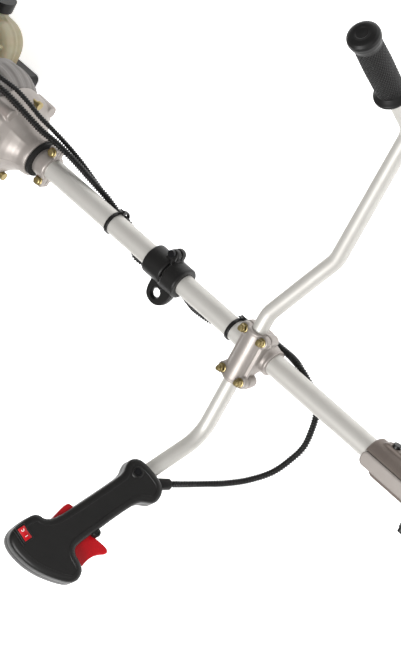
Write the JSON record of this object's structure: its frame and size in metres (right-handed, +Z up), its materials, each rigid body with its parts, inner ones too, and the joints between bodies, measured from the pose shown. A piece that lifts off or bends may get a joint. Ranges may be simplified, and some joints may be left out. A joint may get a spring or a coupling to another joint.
{
  "type": "string trimmer",
  "caption": "Petrol string trimmer with a straight aluminium shaft, wide handlebar, throttle handle with trigger, harness eye, split coupler, guard and tap-feed line head.",
  "frame": {"origin": "centre of the harness eye, where the shoulder harness hooks on", "axes": "+X along the shaft towards the cutting head, +Y to the operator's left, +Z up along the harness eye"},
  "size_m": [1.8196, 0.7742, 0.4192],
  "materials": {
    "anodised_tube": "satin anodised",
    "cast_aluminium": "die cast, bead blasted",
    "steel": "machined",
    "zinc_bolt": "yellow zinc plated",
    "black_screw": "black oxide",
    "black_plastic": "fine moulded texture",
    "grip_rubber": "diamond textured rubber",
    "isolator_rubber": "moulded rubber",
    "conduit_plastic": "corrugated polypropylene",
    "red_plastic": "glossy moulded",
    "cover_red": "glossy moulded",
    "tank_plastic": "translucent polyethylene",
    "hose_clear": "clear flexible hose",
    "fan_grey": "grey painted casting",
    "muffler_steel": "heat resistant paint",
    "line_nylon": "extruded nylon"
  },
  "bodies": {
    "root": {"main_tube": "anodised_tube", "lower_tube": "anodised_tube", "shaft_bushes": "isolator_rubber", "bearings": "steel", "clutch_shoes": "steel", "flywheel": "cast_aluminium", "tube_collar": "cast_aluminium", "isolator_bush": "isolator_rubber", "clutch_housing": "cast_aluminium", "fan_housing": "fan_grey", "ignition_coil": "black_plastic", "crankcase": "cast_aluminium", "crankshaft": "steel", "piston_and_rod": "cast_aluminium", "cylinder": "cast_aluminium", "spark_plug": "isolator_rubber", "starter_cover": "black_plastic", "muffler": "muffler_steel", "carburettor": "cast_aluminium", "air_filter_cover": "black_plastic", "engine_cover": "cover_red", "fuel_tank": "tank_plastic", "fuel_lines": "hose_clear", "tank_stand": "black_plastic", "housing_bolts": "zinc_bolt", "harness_clamp": "black_plastic", "black_screws": "black_screw", "handlebar_clamp_base": "cast_aluminium", "handlebar_clamp_cap": "cast_aluminium", "clamp_bolts": "zinc_bolt", "handlebar": "anodised_tube", "left_grip": "grip_rubber", "throttle_handle_front": "black_plastic", "throttle_handle_rear": "black_plastic", "throttle_conduit": "conduit_plastic", "cable_ties": "black_plastic", "coupler_body": "cast_aluminium", "coupler_cover": "cast_aluminium", "gearcase": "cast_aluminium", "guard": "black_plastic", "guard_bracket": "steel"},
    "drive": {"clutch_drum": "steel", "drive_shaft_upper": "steel", "drive_shaft_lower": "steel", "pinion_gear": "steel"},
    "head": {"output_shaft": "steel", "head_housing": "black_plastic", "trimmer_line": "line_nylon"},
    "bump": {"bump_spool": "red_plastic"},
    "trigger": {"trigger": "red_plastic"},
    "lockout": {"lockout_lever": "red_plastic"},
    "switch": {"stop_switch": "red_plastic"},
    "carb_arm": {"carb_lever": "zinc_bolt"},
    "choke": {"choke_lever": "black_plastic"},
    "primer": {"primer_bulb": "red_plastic"},
    "starter_grip": {"starter_handle": "black_plastic"},
    "starter_reel": {"starter_pulley": "black_plastic"},
    "tank_cap": {"fuel_cap": "black_plastic"},
    "coupler_screw": {"coupler_knob": "black_plastic"},
    "latch": {"latch_button": "black_plastic"}
  },
  "joints": [
    {"name": "head_spin", "type": "hinge", "parent": "root", "child": "head", "pos_m": [1.237, 0.031, 0], "axis": [0.4226, 0, -0.9063], "continuous": true},
    {"name": "drive_spin", "type": "hinge", "parent": "root", "child": "drive", "pos_m": [0.157, 0.031, 0], "axis": [1, 0, 0], "continuous": true},
    {"name": "bump_press", "type": "slide", "parent": "head", "child": "bump", "axis": [-0.4226, 0, 0.9063], "range_m": [0, 0.006], "stiffness_N_per_m": 900, "springref_m": -0.004},
    {"name": "trigger_pull", "type": "hinge", "parent": "root", "child": "trigger", "pos_m": [0.1585, -0.21557, 0.18332], "axis": [0.507, 0.6664, 0.5467], "range_deg": [0, 15], "stiffness_Nm_per_rad": 0.6, "springref_deg": -11.46},
    {"name": "lockout_press", "type": "hinge", "parent": "root", "child": "lockout", "pos_m": [0.13664, -0.2083, 0.19474], "axis": [-0.507, -0.6664, -0.5467], "range_deg": [0, 8], "stiffness_Nm_per_rad": 0.4, "springref_deg": -11.46},
    {"name": "stop_switch_rock", "type": "hinge", "parent": "root", "child": "switch", "pos_m": [0.13186, -0.21573, 0.23657], "axis": [-0.061, -0.6049, 0.7939], "range_deg": [-7, 7]},
    {"name": "carb_lever_turn", "type": "hinge", "parent": "root", "child": "carb_arm", "pos_m": [-0.361, 0.099, 0.072], "axis": [0, 0, 1], "range_deg": [0, 62]},
    {"name": "choke_turn", "type": "hinge", "parent": "root", "child": "choke", "pos_m": [-0.388, 0.149, 0.088], "axis": [0, 1, 0], "range_deg": [0, 45]},
    {"name": "primer_press", "type": "slide", "parent": "root", "child": "primer", "axis": [0, 0, 1], "range_m": [0, 0.004], "stiffness_N_per_m": 500, "springref_m": -0.001},
    {"name": "starter_pull", "type": "slide", "parent": "root", "child": "starter_grip", "axis": [0, 0, 1], "range_m": [0, 0.085], "stiffness_N_per_m": 60, "springref_m": -0.1},
    {"name": "starter_reel_turn", "type": "hinge", "parent": "root", "child": "starter_reel", "pos_m": [-0.436, 0.031, 0], "axis": [1, 0, 0], "range_deg": [0, 170]},
    {"name": "fuel_cap_turn", "type": "hinge", "parent": "root", "child": "tank_cap", "pos_m": [-0.438, 0.11, -0.088], "axis": [0, 1, 0], "range_deg": [0, 180]},
    {"name": "coupler_knob_turn", "type": "hinge", "parent": "root", "child": "coupler_screw", "pos_m": [0.431, 0.001, 0], "axis": [0, -1, 0], "range_deg": [0, 360]},
    {"name": "latch_press", "type": "slide", "parent": "root", "child": "latch", "axis": [0, -1, 0], "range_m": [0, 0.004], "stiffness_N_per_m": 800, "springref_m": -0.001}
  ],
  "couplings": [
    {"joint": "drive_spin", "follows": "head_spin", "ratio": 1.3333},
    {"joint": "carb_lever_turn", "follows": "trigger_pull", "ratio": 4},
    {"joint": "starter_reel_turn", "follows": "starter_pull", "rad_per_m": 34.483}
  ]
}
